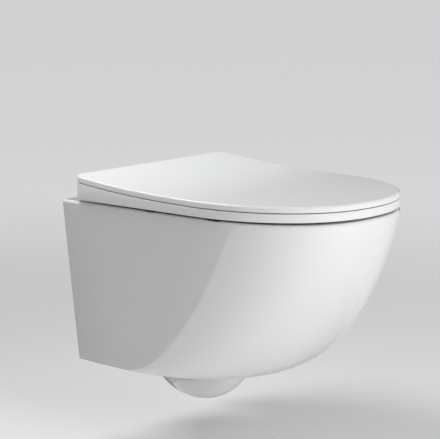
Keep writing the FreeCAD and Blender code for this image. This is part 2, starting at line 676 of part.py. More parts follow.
def hinge_block(damper_outside):
    """The block that drops over the post: barrel round the hinge line, window for the button."""
    barrel = crosswise(BARREL_R, BLOCK_IN, BLOCK_OUT)
    body = box(BLOCK_IN, BLOCK_OUT, BLOCK_FRONT_Y, HINGE_Y, BLOCK_Z, BLOCK_TOP_Z)
    front_edges = [e for e in body.Edges if e.BoundBox.YMax < BLOCK_FRONT_Y + 0.01]
    corner = [e for e in front_edges if e.BoundBox.XLength < 0.01]
    body = body.makeFillet(2.5, corner)
    foot = box(BLOCK_IN, BLOCK_OUT, HINGE_Y - 1, HINGE_Y + BARREL_R * 0.8, BLOCK_Z, HINGE_Z)
    block = body.fuse(barrel).fuse(foot)
    block = block.cut(upright(POST_R + RUNNING, HINGE_X, POST_Y, BLOCK_Z - 1, POST_TOP_Z + SIDE_PLAY))
    if damper_outside:
        bore = crosswise(DAMPER_R + PRESSED, BLOCK_OUT - DAMPER_LENGTH, BLOCK_OUT + 1)
        pin_hole = crosswise(SHAFT_R + PRESSED, BLOCK_IN - 1, BLOCK_OUT - DAMPER_LENGTH - 2)
    else:
        bore = crosswise(DAMPER_R + PRESSED, BLOCK_IN - 1, BLOCK_IN + DAMPER_LENGTH)
        pin_hole = crosswise(SHAFT_R + PRESSED, BLOCK_IN + DAMPER_LENGTH + 2, BLOCK_OUT + 1)
    block = block.cut(bore).cut(pin_hole)
    slot = CLIP_WIRE_R + SIDE_PLAY
    reach = POST_R + 3.5
    room_front_y = BLOCK_FRONT_Y + 2.5
    room_rear_y = POST_Y + POST_R + 3
    room = box(HINGE_X - reach, HINGE_X + reach, room_front_y, room_rear_y, CLIP_Z - slot, CLIP_Z + slot)
    window = box(
        HINGE_X - BUTTON_WIDTH / 2 - SIDE_PLAY,
        HINGE_X + BUTTON_WIDTH / 2 + SIDE_PLAY,
        BLOCK_FRONT_Y - 1,
        BLOCK_FRONT_Y + BUTTON_HEAD + BUTTON_TRAVEL + SEATED,
        CLIP_Z - BUTTON_HEIGHT / 2 - SIDE_PLAY,
        CLIP_Z + BUTTON_HEIGHT / 2 + SIDE_PLAY,
    )
    return block.cut(room).cut(window)


def release_button():
    """A push button with a wedge behind it that spreads the clip."""
    head = box(
        HINGE_X - BUTTON_WIDTH / 2,
        HINGE_X + BUTTON_WIDTH / 2,
        BLOCK_FRONT_Y,
        BLOCK_FRONT_Y + BUTTON_HEAD,
        CLIP_Z - BUTTON_HEIGHT / 2,
        CLIP_Z + BUTTON_HEIGHT / 2,
    )
    head = head.makeFillet(1.2, [e for e in head.Edges if e.BoundBox.YLength > 1])
    stop_y = POST_Y - POST_R - BUTTON_TRAVEL - SIDE_PLAY
    wide = 2 * (POST_R - GROOVE_DEPTH) + 1.0
    narrow = wide - 4.0
    start_y = BLOCK_FRONT_Y + BUTTON_HEAD
    middle_y = (start_y + stop_y) / 2
    outline = [
        Vector(HINGE_X - wide / 2, start_y, 0),
        Vector(HINGE_X + wide / 2, start_y, 0),
        Vector(HINGE_X + wide / 2, middle_y, 0),
        Vector(HINGE_X + narrow / 2, stop_y, 0),
        Vector(HINGE_X - narrow / 2, stop_y, 0),
        Vector(HINGE_X - wide / 2, middle_y, 0),
    ]
    wedge = Part.Face(Part.makePolygon(outline + outline[:1])).extrude(Vector(0, 0, 2 * CLIP_WIRE_R))
    wedge.translate(Vector(0, 0, CLIP_Z - CLIP_WIRE_R))
    return head.fuse(wedge)


def release_clip():
    """A spring wire bent to a U, whose legs lie in the post's groove."""
    leg = POST_R - GROOVE_DEPTH + CLIP_WIRE_R + 0.1
    front_y = POST_Y - POST_R - 2.0
    bend_y = POST_Y + 1.5
    start = Vector(HINGE_X - leg, front_y, CLIP_Z)
    far = Vector(HINGE_X + leg, front_y, CLIP_Z)
    path = Part.Wire(
        [
            Part.LineSegment(start, Vector(HINGE_X - leg, bend_y, CLIP_Z)).toShape(),
            Part.Arc(
                Vector(HINGE_X - leg, bend_y, CLIP_Z),
                Vector(HINGE_X, bend_y + leg, CLIP_Z),
                Vector(HINGE_X + leg, bend_y, CLIP_Z),
            ).toShape(),
            Part.LineSegment(Vector(HINGE_X + leg, bend_y, CLIP_Z), far).toShape(),
        ]
    )
    section = Part.Wire(Part.Circle(start, Vector(0, 1, 0), CLIP_WIRE_R).toShape())
    return path.makePipeShell([section], True, False)


def damper_housing(outside):
    """A sealed grease chamber with a bearing wall for its shaft."""
    if outside:
        mouth, back, into = BLOCK_OUT, BLOCK_OUT - DAMPER_LENGTH, -1
    else:
        mouth, back, into = BLOCK_IN, BLOCK_IN + DAMPER_LENGTH, 1
    shell = crosswise(DAMPER_R, mouth, back - into * SEATED)
    chamber = crosswise(ROTOR_R + 0.3, mouth + into * 3, back - into * 2)
    neck = crosswise(SHAFT_R + RUNNING, mouth - into, mouth + into * 4)
    return shell.cut(chamber).cut(neck)


def damper_shaft(outside):
    """Rotor inside the chamber, and a flatted shaft that turns the lid or the seat."""
    if outside:
        mouth, back, into, reach = BLOCK_OUT, BLOCK_OUT - DAMPER_LENGTH, -1, SEAT_BEARING
    else:
        mouth, back, into, reach = BLOCK_IN, BLOCK_IN + DAMPER_LENGTH, 1, KNUCKLE_WIDTH
    tip = mouth - into * (SIDE_PLAY + reach - 1)
    rotor = crosswise(ROTOR_R, mouth + into * 3.3, back - into * 2.3)
    shaft = crosswise(SHAFT_R, mouth + into * 4, tip)
    flat_from = mouth - into * SIDE_PLAY
    return rotor.fuse(shaft.cut(shaft_flat(flat_from, tip - into, 0.0)))


def shaft_flat(x0, x1, play):
    return box(x0, x1, HINGE_Y - 8, HINGE_Y + 8, HINGE_Z + SHAFT_R * 0.7 + play, HINGE_Z + 8)


def keyed_bush(x0, x1, play):
    """A nylon bush pressed in a lug, with a flatted hole for a damper's shaft."""
    bush = crosswise(BUSH_R, x0, x1)
    hole = crosswise(SHAFT_R + PRESSED, x0 - 1, x1 + 1).cut(shaft_flat(x0 - 1, x1 + 1, play))
    return bush.cut(hole)


def plain_bush(x0, x1):
    return crosswise(BUSH_R, x0, x1).cut(crosswise(SHAFT_R + RUNNING, x0 - 1, x1 + 1))


def pivot_pin(outside):
    """The plain pin at the side of the block that has no damper."""
    if outside:
        end = BLOCK_OUT + SIDE_PLAY + SEAT_BEARING - 1
        return crosswise(SHAFT_R, BLOCK_IN + DAMPER_LENGTH + 2 + SEATED, end)
    return crosswise(SHAFT_R, BLOCK_OUT - DAMPER_LENGTH - 2 - SEATED, KNUCKLE_IN + 1)


# ---- wall fixings and flush seal ----
def wall_sleeve(x):
    tube = along_wall(BOLT_HOLE_R - SEATED, x, 0, 0, -WEB_THICKNESS)
    flange = along_wall(SLEEVE_FLANGE_R, x, 0, -WEB_THICKNESS, -WEB_THICKNESS - SLEEVE_FLANGE)
    bore = along_wall(SLEEVE_BORE_R, x, 0, 1, -WEB_THICKNESS - SLEEVE_FLANGE - 1)
    return tube.fuse(flange).cut(bore)


def wall_washer(x):
    y = -WEB_THICKNESS - SLEEVE_FLANGE
    disc = along_wall(WASHER_R, x, 0, y, y - WASHER_THICKNESS)
    return disc.cut(along_wall(SLEEVE_BORE_R, x, 0, y + 1, y - WASHER_THICKNESS - 1))


def wall_nut(x):
    y = -WEB_THICKNESS - SLEEVE_FLANGE - WASHER_THICKNESS
    corner_r = NUT_ACROSS_FLATS / math.sqrt(3)
    points = [Vector(x + p.x, y, p.y) for p in ring_points(corner_r, 6)]
    nut = Part.Face(Part.makePolygon(points)).extrude(Vector(0, -NUT_HEIGHT, 0))
    return nut.cut(along_wall(NUT_BORE_R, x, 0, y + 1, y - NUT_HEIGHT - 1))


def inlet_seal():
    """A rubber sleeve that seals the flush pipe in the pan's inlet socket."""
    z = INLET_ABOVE_BOLTS
    length = INLET_SOCKET_DEPTH - WALL / 2
    body = along_wall(INLET_SOCKET_R - SEATED, 0, z, 0, -length)
    return body.cut(along_wall(FLUSH_PIPE_R, 0, z, 1, -length - 1))


def write(name, *solids):
    shape = solids[0] if len(solids) == 1 else Part.makeCompound(list(solids))
    count = len(shape.Solids)
    volume = sum(s.Volume for s in shape.Solids)
    print(f"{name}: {count} solid(s), {volume / 1000:.1f} cm3, valid {shape.isValid()}")
    if count == 1:
        shape = shape.Solids[0]
    shape.exportStep(f"parts/{name}.step")


def main():
    os.makedirs("parts", exist_ok=True)
    # The pan is one ceramic casting, kept as seven touching solids that are each of a plain form.
    web, deck, rim, skirt = shell_pieces()
    basin, trapway, duct = waterways()
    write("pan_web", web)
    write("pan_deck", deck)
    write("pan_rim", rim)
    write("pan_skirt", skirt)
    write("pan_basin", basin)
    write("pan_trapway", trapway)
    write("pan_flush_duct", duct)
    write("seat_ring", seat_ring())
    write("lid", lid())
    write("seat_buffers", *seat_buffer_shapes(SEATED))
    write("lid_buffers", *lid_buffer_shapes())
    write("hinge_gaskets", *both_sides(hinge_gasket()))
    write("hinge_screws", *both_sides(hinge_screw()))
    write("hinge_dowels", *both_sides(hinge_dowel()))
    write("hinge_nuts", *both_sides(hinge_nut()))
    for name, side in SIDES.items():
        write(f"hinge_post_{name}", on_side(hinge_post(), side))
        write(f"hinge_block_{name}", on_side(hinge_block(side > 0), side))
        write(f"release_button_{name}", on_side(release_button(), side))
        write(f"release_clip_{name}", on_side(release_clip(), side))
    write("lid_damper", mirrored(damper_housing(False)))
    write("lid_damper_shaft", mirrored(damper_shaft(False)))
    write("seat_damper", damper_housing(True))
    write("seat_damper_shaft", damper_shaft(True))
    write("seat_pivot_pin", mirrored(pivot_pin(True)))
    write("lid_pivot_pin", pivot_pin(False))
    bearing_in = BLOCK_OUT + SIDE_PLAY
    bearing_out = bearing_in + SEAT_BEARING
    write("lid_bush_left", mirrored(keyed_bush(KNUCKLE_IN, KNUCKLE_OUT, 0.05)))
    write("lid_bush_right", plain_bush(KNUCKLE_IN, KNUCKLE_OUT))
    write("seat_bush_left", mirrored(plain_bush(bearing_in, bearing_out)))
    write("seat_bush_right", keyed_bush(bearing_in, bearing_out, 0.05))
    bolt_xs = [side * BOLT_SPACING / 2 for side in SIDES.values()]
    write("wall_sleeves", *[wall_sleeve(x) for x in bolt_xs])
    write("wall_washers", *[wall_washer(x) for x in bolt_xs])
    write("wall_nuts", *[wall_nut(x) for x in bolt_xs])
    write("inlet_seal", inlet_seal())


main()
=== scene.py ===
# %% [markdown]
# # A wall hung toilet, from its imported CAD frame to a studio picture
# The real object is a ceramic pan that hangs on a wall, with a thin plastic seat and lid on two
# hinges. It could be modelled from nothing in Blender, but the CAD solids already fix every size,
# place and joint. So Blender only adds what the eye looks for: surfaces fine enough to carry a
# clean reflection, rounded edges, and finishes. All lengths are metres in the CAD's own frame: the
# wall is the plane y = 0, the pan reaches forward along -y, and z is up.
# %% Load the frame
import json
import math

import bmesh
import bpy
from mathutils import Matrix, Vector
from mathutils.bvhtree import BVHTree


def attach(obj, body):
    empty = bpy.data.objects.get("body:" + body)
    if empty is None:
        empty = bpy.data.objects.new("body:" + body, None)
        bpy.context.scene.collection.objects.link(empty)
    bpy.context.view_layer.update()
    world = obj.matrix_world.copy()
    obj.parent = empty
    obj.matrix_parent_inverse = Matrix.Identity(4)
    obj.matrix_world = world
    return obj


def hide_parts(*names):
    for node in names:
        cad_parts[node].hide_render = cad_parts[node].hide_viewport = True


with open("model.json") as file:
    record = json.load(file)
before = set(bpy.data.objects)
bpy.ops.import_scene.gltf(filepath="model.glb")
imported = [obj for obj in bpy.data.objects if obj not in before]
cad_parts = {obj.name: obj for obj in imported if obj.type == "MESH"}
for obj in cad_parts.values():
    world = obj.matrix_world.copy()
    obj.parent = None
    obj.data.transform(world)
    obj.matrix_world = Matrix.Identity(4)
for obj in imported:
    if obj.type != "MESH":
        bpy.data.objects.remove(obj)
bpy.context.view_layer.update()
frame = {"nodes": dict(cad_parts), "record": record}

# %% [markdown]
# ## The camera
# The photograph was taken from the left front, a little above the seat, with a long lens. A camera
# could be moved by eye until it looks right. Here its place, its aim and its lens were fitted to
# the edges of the seat and the pan, so the outline falls where the photograph has it.
# %% Camera
camera_data = bpy.data.cameras.new("camera")
camera_data.sensor_width = 36.0
camera_data.lens = 152.18
camera = bpy.data.objects.new("camera", camera_data)
bpy.context.scene.collection.objects.link(camera)
camera.location = (-2.21039, -2.05989, 0.55122)
looking = Vector((0.7496, 0.6391, -0.1719))
camera.rotation_euler = looking.to_track_quat("-Z", "Y").to_euler()
bpy.context.scene.camera = camera
print("camera:", [round(v, 3) for v in camera.location], "lens", camera_data.lens)

# %% [markdown]
# ## Helpers for meshes
# Most of this object is made of rows: outlines stacked one above the other, with a strip of quads
# between each pair. Blender's own shapes could be pushed into place instead, but rows put every
# point where the rule says it is. Two small functions are enough for the pan, the seat and the lid:
# one makes an object of points and faces, and one gives the quads between rows.
# %% Rows into meshes
def mesh_object(name, verts, faces):
    mesh = bpy.data.meshes.new(name)
    mesh.from_pydata(verts, [], faces)
    mesh.validate()
    obj = bpy.data.objects.new(name, mesh)
    bpy.context.scene.collection.objects.link(obj)
    return obj


def stacked(rows, closed, inward=False):
    """Rows of points, and the quads between neighbouring rows."""
    count = len(rows[0])
    faces = []
    for row in range(len(rows) - 1):
        for k in range(count if closed else count - 1):
            a = row * count + k
            b = row * count + (k + 1) % count
            faces.append((a, b, b + count, a + count))
    if inward:
        faces = [face[::-1] for face in faces]
    return [point for row in rows for point in row], faces


print("helpers: mesh_object and stacked")

# %% [markdown]
# ## Helpers for materials
# Real glaze, plastic and metal are never quite flat or quite one colour. A finish could be an image
# wrapped round the piece, but noise needs no UV map and stays sharp at any distance. So a finish is
# a Principled shader with a slow change of tone and roughness, in patches, and a fine grain that
# gives a faint relief. The noise reads object coordinates, so it stays on the surface.
# %% Materials
def finish(name, base, varies, rough, rough_varies, patches, relief, grain, **sockets):
    """A Principled material whose tone, roughness and relief come from noise in object space."""
    mat = bpy.data.materials.new(name)
    mat.use_nodes = True
    nodes, links = mat.node_tree.nodes, mat.node_tree.links
    shader = nodes["Principled BSDF"]
    place = nodes.new("ShaderNodeTexCoord")
    slow = nodes.new("ShaderNodeTexNoise")
    slow.inputs["Scale"].default_value = patches
    slow.inputs["Detail"].default_value = 3.0
    links.new(place.outputs["Object"], slow.inputs["Vector"])
    tone = nodes.new("ShaderNodeMix")
    tone.data_type = "RGBA"
    tone.inputs[6].default_value = [c * (1 - varies) for c in base] + [1]
    tone.inputs[7].default_value = [min(1.0, c * (1 + varies)) for c in base] + [1]
    links.new(slow.outputs["Fac"], tone.inputs[0])
    links.new(tone.outputs[2], shader.inputs["Base Color"])
    gloss = nodes.new("ShaderNodeMapRange")
    gloss.inputs["To Min"].default_value = rough - rough_varies
    gloss.inputs["To Max"].default_value = rough + rough_varies
    links.new(slow.outputs["Fac"], gloss.inputs["Value"])
    links.new(gloss.outputs["Result"], shader.inputs["Roughness"])
    fine = nodes.new("ShaderNodeTexNoise")
    fine.inputs["Scale"].default_value = grain
    fine.inputs["Detail"].default_value = 2.0
    links.new(place.outputs["Object"], fine.inputs["Vector"])
    bump = nodes.new("ShaderNodeBump")
    bump.inputs["Strength"].default_value = 1.0
    bump.inputs["Distance"].default_value = relief
    links.new(fine.outputs["Fac"], bump.inputs["Height"])
    links.new(bump.outputs["Normal"], shader.inputs["Normal"])
    for socket, value in sockets.items():
        shader.inputs[socket.replace("_", " ")].default_value = value
    return mat


print("helper: finish")

# %% [markdown]
# ## Plastics, rubbers and metals
# Seat and lid are pressed duroplast, a hard plastic with an almost glassy skin. The hinge blocks
# are a satin plastic, the dampers black acetal, and the bushes and sleeves nylon. Rubber is matt
# and grainy, chrome is nearly a mirror, and zinc and brass are duller. Each could have a node tree
# of its own, but they differ in numbers alone, so one function makes them all.
# %% Finishes for plastic, rubber and metal
white_plastic = finish("white duroplast", (0.80, 0.80, 0.80), varies=0.01, rough=0.16,
                       rough_varies=0.02, patches=8, relief=0.00002, grain=60, IOR=1.5)
grey_plastic = finish("hinge plastic", (0.66, 0.66, 0.66), varies=0.02, rough=0.30,
                      rough_varies=0.04, patches=60, relief=0.00005, grain=600)
black_acetal = finish("black acetal", (0.03, 0.03, 0.032), varies=0.15, rough=0.38,
                      rough_varies=0.05, patches=90, relief=0.00005, grain=500)
nylon = finish("white nylon", (0.72, 0.71, 0.67), varies=0.03, rough=0.42,
               rough_varies=0.05, patches=90, relief=0.00006, grain=500)
black_rubber = finish("black rubber", (0.012, 0.012, 0.013), varies=0.25, rough=0.62,
                      rough_varies=0.08, patches=90, relief=0.00015, grain=900)
clear_rubber = finish("clear rubber", (0.62, 0.62, 0.58), varies=0.05, rough=0.35,
                      rough_varies=0.05, patches=120, relief=0.00005, grain=700)
chrome = finish("chrome", (0.82, 0.83, 0.85), varies=0.02, rough=0.07,
                rough_varies=0.02, patches=40, relief=0.00001, grain=300, Metallic=1.0)
zinc_steel = finish("zinc plated steel", (0.60, 0.61, 0.62), varies=0.08, rough=0.32,
                    rough_varies=0.06, patches=150, relief=0.00004, grain=900, Metallic=1.0)
brass = finish("brass", (0.72, 0.55, 0.27), varies=0.08, rough=0.30,
               rough_varies=0.06, patches=120, relief=0.00004, grain=700, Metallic=1.0)
print("finishes:", len(bpy.data.materials))

# %% [markdown]
# ## Glazed ceramic
# The pan is vitreous china: a white body under a clear, glassy glaze. The glaze is very smooth, but
# it flowed while it was hot, so reflections in it bend a little. Where the pan meets the wall the
# glaze is wiped off before firing, and the bare body shows: matt and a little warmer. The bare edge
# could be painted as a mask, but the wall is a plane, so its distance from y = 0 says it exactly.
# %% Glaze
BARE_BEGINS, BARE_WHOLLY = -0.0012, -0.0004
BARE_BODY = (("Base Color", (0.62, 0.60, 0.56, 1)), ("Roughness", (0.8, 0.8, 0.8, 1)))


def make_glaze():
    mat = finish("glazed china", (0.80, 0.80, 0.80), varies=0.012, rough=0.07,
                 rough_varies=0.015, patches=5, relief=0.00035, grain=9,
                 IOR=1.52, Coat_Weight=1.0, Coat_Roughness=0.05, Coat_IOR=1.5)
    nodes, links = mat.node_tree.nodes, mat.node_tree.links
    shader = nodes["Principled BSDF"]
    place = nodes.new("ShaderNodeTexCoord")
    split = nodes.new("ShaderNodeSeparateXYZ")
    links.new(place.outputs["Object"], split.inputs["Vector"])
    bare = nodes.new("ShaderNodeMapRange")
    bare.inputs["From Min"].default_value = BARE_BEGINS
    bare.inputs["From Max"].default_value = BARE_WHOLLY
    links.new(split.outputs["Y"], bare.inputs["Value"])
    for socket, value in BARE_BODY:
        glazed = shader.inputs[socket].links[0].from_socket
        mix = nodes.new("ShaderNodeMix")
        mix.data_type = "RGBA"
        links.new(bare.outputs["Result"], mix.inputs[0])
        links.new(glazed, mix.inputs[6])
        mix.inputs[7].default_value = value
        links.new(mix.outputs[2], shader.inputs[socket])
    return mat


glaze = make_glaze()
print("glaze:", len(glaze.node_tree.nodes), "nodes")

# %% [markdown]
# ## The finishes on the CAD's own pieces
# The screws, pins, bushes, seals and buffers are small and mostly hidden, and the CAD has their
# shapes right. They could be built again, but nothing would be won, so they only get their finish.
# The record names a slot for each node, and each slot is one finish.
# %% Carry-over finishes
slot_finish = {
    "glaze": glaze,
    "seat_plastic": white_plastic,
    "hinge_plastic": grey_plastic,
    "black_rubber": black_rubber,
    "clear_rubber": clear_rubber,
    "chrome": chrome,
    "chrome_button": chrome,
    "steel": zinc_steel,
    "brass": brass,
    "damper_plastic": black_acetal,
    "nylon": nylon,
}
for part in frame["record"]["subparts"]:
    node = frame["nodes"][part["node"]]
    node.data.materials.clear()
    node.data.materials.append(slot_finish[part["material_slot"]])

# %% [markdown]
# ## The outside of the pan
# The pan's side is one flowing surface, and its glaze mirrors the room, so the least ripple shows.
# The CAD mesh could be subdivided, but its long triangles would stay visible in a reflection. The
# same few rules that made the solid give a fine, even grid instead. At each height the outline is
# two straight, flaring sides and a round front, a superellipse, and the front swings in towards the
# keel as it goes down. A pair in brackets is a size at the skirt's edge, and the same at the rim.
# %% Pan outline
SKIRT_Z, RIM_Z = -0.1835, 0.080
HALF_AT_WALL = (0.142, 0.1755)
HALF_FORWARD = (0.1462, 0.176)
STRAIGHT_SIDE = (0.111, 0.240)
TIP = (0.2875, 0.478)
FULLNESS = (2.23, 2.5)
FRONT_SWING, FRONT_SWING_ROOT = 1.44, 1.76
FLARE_LENGTH = 0.1
SIDE_STEPS, FRONT_STEPS = 24, 48


def mixed(low, high, share):
    return low + (high - low) * share


def quarter_turn(steps):
    """Angles from 0 to 90 degrees, both ends included."""
    return [k / steps * math.pi / 2 for k in range(steps + 1)]


def pan_row(level, z, inset):
    """One open outline of the pan, from the left back corner round the front to the right one."""
    grown = (1 - (1 - level) ** FRONT_SWING) ** (1 / FRONT_SWING_ROOT)
    at_wall = mixed(*HALF_AT_WALL, level) - inset
    at_middle = mixed(*HALF_FORWARD, math.sqrt(level)) - inset
    straight = mixed(*STRAIGHT_SIDE, grown)
    reach = mixed(*TIP, grown) - inset - straight
    fullness = mixed(*FULLNESS, level)
    half = []
    for k in range(SIDE_STEPS):
        y = straight * k / SIDE_STEPS
        flare = min(1.0, y / FLARE_LENGTH)
        half.append((mixed(at_wall, at_middle, flare * (2 - flare)), -y))
    for turn in quarter_turn(FRONT_STEPS):
        forward = math.sin(turn)
        across = max(0.0, 1 - forward**fullness) ** (1 / fullness)
        half.append((at_middle * across, -straight - reach * forward))
    left = [(-x, y, z) for x, y in half]
    right = [(x, y, z) for x, y in half[-2::-1]]
    return left + right


print("a row of the pan:", len(pan_row(1.0, RIM_Z, 0.0)), "points")

# %% [markdown]
# ## From the skirt up to the rim
# The rows stand closer together low down, where the pan turns under itself most. At the top they go
# over a rounded edge of 5 mm. A Bevel modifier could round it afterwards, but the rows are being
# made anyway, so the last few simply follow a quarter turn.
# %% The pan's side
RIM_ROUND = 0.005
HEIGHT_STEPS, EDGE_STEPS = 64, 8
CROWDED_LOW = 2.2

pan_rows = []
for k in range(HEIGHT_STEPS + 1):
    level = (k / HEIGHT_STEPS) ** CROWDED_LOW * (1 - RIM_ROUND / (RIM_Z - SKIRT_Z))
    pan_rows.append(pan_row(level, mixed(SKIRT_Z, RIM_Z, level), 0.0))
for turn in quarter_turn(EDGE_STEPS)[1:]:
    z = RIM_Z - RIM_ROUND * (1 - math.sin(turn))
    inset = RIM_ROUND * (1 - math.cos(turn))
    pan_rows.append(pan_row((z - SKIRT_Z) / (RIM_Z - SKIRT_Z), z, inset))
pan_side = mesh_object("pan_side", *stacked(pan_rows, closed=False))
print("pan side:", len(pan_side.data.polygons), "faces")

# %% [markdown]
# ## Where the casting's solids touch
# The real pan is one casting, but the CAD has it as several solids that touch. Where two of them
# touch, both faces are inside the ceramic and no surface of the pan. A boolean could unite the
# solids, but it is unsure where faces coincide. So a face goes where another lies on it, back to
# back, at its centre and near each of its corners.
# %% Faces inside the ceramic
TOUCHING, FACES_AWAY, NEAR_CORNER = 2e-5, -0.99, 0.9


def drop_touching(bm):
    """Delete the faces where two solids of the casting touch, and count them."""
    tree = BVHTree.FromBMesh(bm)

    def covered(spot, normal):
        hits = tree.find_nearest_range(spot, TOUCHING)
        return any(hit[1].dot(normal) < FACES_AWAY for hit in hits)

    hidden = []
    for face in bm.faces:
        centre = face.calc_center_median()
        spots = [centre] + [centre.lerp(v.co, NEAR_CORNER) for v in face.verts]
        if all(covered(spot, face.normal) for spot in spots):
            hidden.append(face)
    bmesh.ops.delete(bm, geom=hidden, context="FACES")
    return len(hidden)


print("faces touch within", TOUCHING, "m")

# %% [markdown]
# ## Joining a fine surface to the CAD's
# The bowl, the trap and the wall side are kept from the CAD. A boolean could join the new side to
# them, but the two surfaces almost coincide, and a remesh would blur the edges. So each CAD
# triangle is measured against the new surface, those that lie on it and face its way are left out,
# and the rest are kept as they are. The normals that came with the file belong to its loose
# triangles, so they are dropped once those are merged. Shading is smooth, with an edge only where
# faces meet at a real angle.
# %% Join a fine surface to CAD nodes
WELD, LIES_ON, FACES_SAME_WAY = 2e-6, 0.0009, 0.7
SHARP_FROM = 32


def join_rest(fine, node_names, name, reach=LIES_ON):
    """The fine surface and the CAD triangles that don't lie on it, as one piece."""
    bm = bmesh.new()
    for node_name in node_names:
        bm.from_mesh(frame["nodes"][node_name].data)
    if len(node_names) > 1:
        print(f"{name}: {drop_touching(bm)} hidden triangles dropped")
    bmesh.ops.remove_doubles(bm, verts=bm.verts, dist=WELD)
    total = len(bm.faces)
    fine_verts = [v.co for v in fine.data.vertices]
    tree = BVHTree.FromPolygons(fine_verts, [p.vertices for p in fine.data.polygons])
    over = []
    for face in bm.faces:
        spots = [v.co for v in face.verts] + [face.calc_center_median()]
        near = [tree.find_nearest(spot, reach) for spot in spots]
        if all(n[0] for n in near) and near[-1][1].dot(face.normal) > FACES_SAME_WAY:
            over.append(face)
    bmesh.ops.delete(bm, geom=over, context="FACES")
    bm.from_mesh(fine.data)
    joined = bpy.data.meshes.new(name)
    bm.to_mesh(joined)
    bm.free()
    if "custom_normal" in joined.attributes:
        joined.attributes.remove(joined.attributes["custom_normal"])
    print(f"{name}: {len(over)} of {total} CAD triangles replaced,", len(joined.polygons), "faces")
    obj = bpy.data.objects.new(name, joined)
    bpy.context.scene.collection.objects.link(obj)
    bpy.data.objects.remove(fine)
    joined.shade_smooth()
    joined.set_sharp_from_angle(angle=math.radians(SHARP_FROM))
    return obj


print("edges are sharp from", SHARP_FROM, "degrees")

# %% [markdown]
# ## The glazed pan
# The seven solids of the casting could stay seven pieces, but seams would show between them. They
# become one piece of glazed china, as the real pan is. A finished piece gets its material, hides
# the CAD nodes it stands for, and rides on their body.
# %% Dress the pan
def dress(obj, nodes, slot, body):
    """Give a finished piece its material, and its place in the frame."""
    obj.data.materials.clear()
    obj.data.materials.append(slot_finish[slot])
    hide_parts(*nodes)
    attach(obj, body)


pan_nodes = [n for n in frame["nodes"] if n.startswith("pan_")]
pan = join_rest(pan_side, pan_nodes, "glazed_pan")
dress(pan, pan_nodes, "glaze", "bowl_and_fixings")

# %% [markdown]
# ## The line of the seat and the lid
# From the front the seat runs level, and then its line rises towards the hinges: 15 mm at the
# rear, along a curve that starts very gently. Each mesh could be bent by hand or in a lattice, but
# seat and lid have to rise as one. So one Geometry Nodes tree holds the rule. The meshes of seat
# and lid are drawn flat, and the tree lifts each point by its own share of the rise.
# %% The rise, as a Geometry Nodes tree
def rise_tree():
    tree = bpy.data.node_groups.new("seat rise", "GeometryNodeTree")
    sockets = tree.interface
    sockets.new_socket("Geometry", in_out="INPUT", socket_type="NodeSocketGeometry")
    for name in ("Rise", "Length", "Power", "Rear Edge"):
        sockets.new_socket(name, in_out="INPUT", socket_type="NodeSocketFloat")
    sockets.new_socket("Finish", in_out="INPUT", socket_type="NodeSocketMaterial")
    sockets.new_socket("Geometry", in_out="OUTPUT", socket_type="NodeSocketGeometry")
    nodes, links = tree.nodes, tree.links
    given = nodes.new("NodeGroupInput")
    split = nodes.new("ShaderNodeSeparateXYZ")
    links.new(nodes.new("GeometryNodeInputPosition").outputs[0], split.inputs[0])

    def maths(operation, first, second):
        node = nodes.new("ShaderNodeMath")
        node.operation = operation
        for slot, value in enumerate((first, second)):
            if isinstance(value, (int, float)):
                node.inputs[slot].default_value = value
            else:
                links.new(value, node.inputs[slot])
        return node.outputs[0]

    from_rear = maths("SUBTRACT", given.outputs["Rear Edge"], split.outputs["Y"])
    left = maths("SUBTRACT", 1.0, maths("DIVIDE", from_rear, given.outputs["Length"]))
    curve = maths("POWER", maths("MAXIMUM", left, 0.0), given.outputs["Power"])
    height = maths("MULTIPLY", curve, given.outputs["Rise"])
    share = nodes.new("GeometryNodeInputNamedAttribute")
    share.data_type = "FLOAT"
    share.inputs["Name"].default_value = "rise_share"
    lift = nodes.new("ShaderNodeCombineXYZ")
    links.new(maths("MULTIPLY", height, share.outputs["Attribute"]), lift.inputs["Z"])
    move = nodes.new("GeometryNodeSetPosition")
    links.new(given.outputs["Geometry"], move.inputs["Geometry"])
    links.new(lift.outputs[0], move.inputs["Offset"])
    real = nodes.new("GeometryNodeRealizeInstances")
    links.new(move.outputs[0], real.inputs[0])
    paint = nodes.new("GeometryNodeSetMaterial")
    links.new(real.outputs[0], paint.inputs["Geometry"])
    links.new(given.outputs["Finish"], paint.inputs["Material"])
    links.new(paint.outputs[0], nodes.new("NodeGroupOutput").inputs[0])
    return tree


rising = rise_tree()
tree_inputs = {i.name: i.identifier for i in rising.interface.items_tree if i.in_out == "INPUT"}
print("tree inputs:", list(tree_inputs))

# %% [markdown]
# ## Running the tree
# Each point carries its share of the rise as an attribute. The tree's inputs are set by their
# identifiers before Blender first evaluates the object. The modifier could stay on it, but the
# frame takes finished meshes, so the result is kept as a plain mesh.
# %% Lift a mesh
SEAT_REAR = -0.026
SEAT_RISE = {"Rise": 0.015, "Length": 0.300, "Power": 2.6, "Rear Edge": SEAT_REAR,
             "Finish": white_plastic}


def lifted(obj, share_of):
    """The object as a plain mesh, with each point raised by its share of the seat's rise."""
    attribute = obj.data.attributes.new("rise_share", "FLOAT", "POINT")
    for vert, item in zip(obj.data.vertices, attribute.data):
        item.value = share_of(vert.co)
    modifier = obj.modifiers.new(rising.name, "NODES")
    modifier.node_group = rising
    for name, value in SEAT_RISE.items():
        modifier[tree_inputs[name]] = value
    graph = bpy.context.evaluated_depsgraph_get()
    plain = bpy.data.meshes.new_from_object(obj.evaluated_get(graph))
    obj.modifiers.clear()
    obj.data = plain
    return obj


print("rise:", SEAT_RISE["Rise"], "over", SEAT_RISE["Length"])

